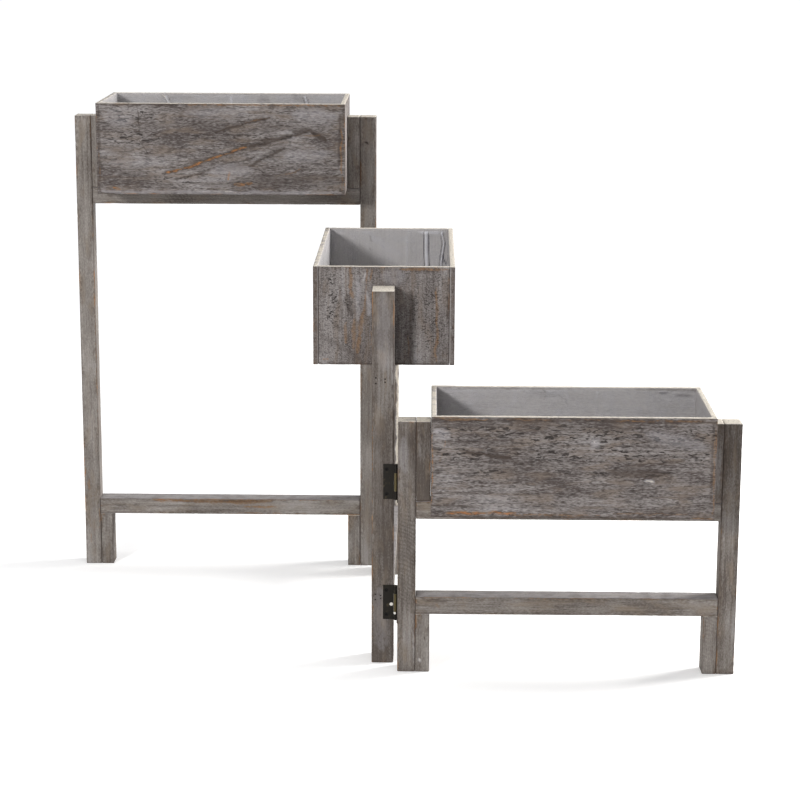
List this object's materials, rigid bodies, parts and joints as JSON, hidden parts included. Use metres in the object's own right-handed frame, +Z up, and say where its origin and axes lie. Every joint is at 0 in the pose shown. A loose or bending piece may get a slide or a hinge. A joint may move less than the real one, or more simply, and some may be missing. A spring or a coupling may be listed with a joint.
{
  "type": "raised planter on legs",
  "caption": "Tiered folding planter stand: hinged leg frames in a zigzag, each carrying an open rectangular wooden box at its own height.",
  "frame": {"origin": "on the floor under the middle of the middle leg frame, which is also the middle of the whole stand as it stands open at right angles", "axes": "+Z up; +X towards the free end of the low frame and -X towards the free end of the tall one; the middle frame runs along Y"},
  "size_m": [0.9974, 0.7204, 0.7635],
  "materials": {
    "frame_board": "grey wash over sawn softwood, worn at the edges",
    "box_board": "crackled grey wash over sawn softwood, rubbed back",
    "liner": "clear glossy film",
    "hinge_leaf": "dark bronzed, rubbed to dull brass on the middle knuckle",
    "hinge_pin": "dull",
    "screw": "dark bronzed countersunk head",
    "brad": "dull, sunk below the surface"
  },
  "bodies": {
    "middle_frame": {"middle_post_front": "frame_board", "middle_post_back": "frame_board", "middle_foot_block_front": "frame_board", "middle_foot_block_back": "frame_board", "middle_spacer_front": "frame_board", "middle_spacer_back": "frame_board", "middle_lower_rail": "frame_board", "middle_upper_rail": "frame_board", "middle_box_side_right": "box_board", "middle_box_side_left": "box_board", "middle_box_end_front": "box_board", "middle_box_end_back": "box_board", "middle_box_bottom": "box_board", "middle_liner": "liner", "middle_hinge_screws": "screw", "middle_brads": "brad", "tall_lower_hinge_fixed_leaf": "hinge_leaf", "tall_lower_hinge_pin": "hinge_pin", "tall_upper_hinge_fixed_leaf": "hinge_leaf", "tall_upper_hinge_pin": "hinge_pin", "low_lower_hinge_fixed_leaf": "hinge_leaf", "low_lower_hinge_pin": "hinge_pin", "low_upper_hinge_fixed_leaf": "hinge_leaf", "low_upper_hinge_pin": "hinge_pin"},
    "tall_frame": {"tall_post_left": "frame_board", "tall_post_right": "frame_board", "tall_foot_block_left": "frame_board", "tall_foot_block_right": "frame_board", "tall_spacer_left": "frame_board", "tall_spacer_right": "frame_board", "tall_lower_rail": "frame_board", "tall_upper_rail": "frame_board", "tall_box_side_front": "box_board", "tall_box_side_back": "box_board", "tall_box_end_left": "box_board", "tall_box_end_right": "box_board", "tall_box_bottom": "box_board", "tall_liner": "liner", "tall_hinge_screws": "screw", "tall_brads": "brad", "tall_lower_hinge_moving_leaf": "hinge_leaf", "tall_upper_hinge_moving_leaf": "hinge_leaf"},
    "low_frame": {"low_post_left": "frame_board", "low_post_right": "frame_board", "low_foot_block_left": "frame_board", "low_foot_block_right": "frame_board", "low_spacer_left": "frame_board", "low_spacer_right": "frame_board", "low_lower_rail": "frame_board", "low_upper_rail": "frame_board", "low_box_side_front": "box_board", "low_box_side_back": "box_board", "low_box_end_left": "box_board", "low_box_end_right": "box_board", "low_box_bottom": "box_board", "low_liner": "liner", "low_hinge_screws": "screw", "low_brads": "brad", "low_lower_hinge_moving_leaf": "hinge_leaf", "low_upper_hinge_moving_leaf": "hinge_leaf"}
  },
  "joints": [
    {"name": "tall_fold", "type": "hinge", "parent": "middle_frame", "child": "tall_frame", "pos_m": [-0.0186, 0.24155, 0], "axis": [0, 0, 1], "range_deg": [-90, 90]},
    {"name": "low_fold", "type": "hinge", "parent": "middle_frame", "child": "low_frame", "pos_m": [0.0186, -0.24155, 0], "axis": [0, 0, 1], "range_deg": [-90, 90]}
  ]
}
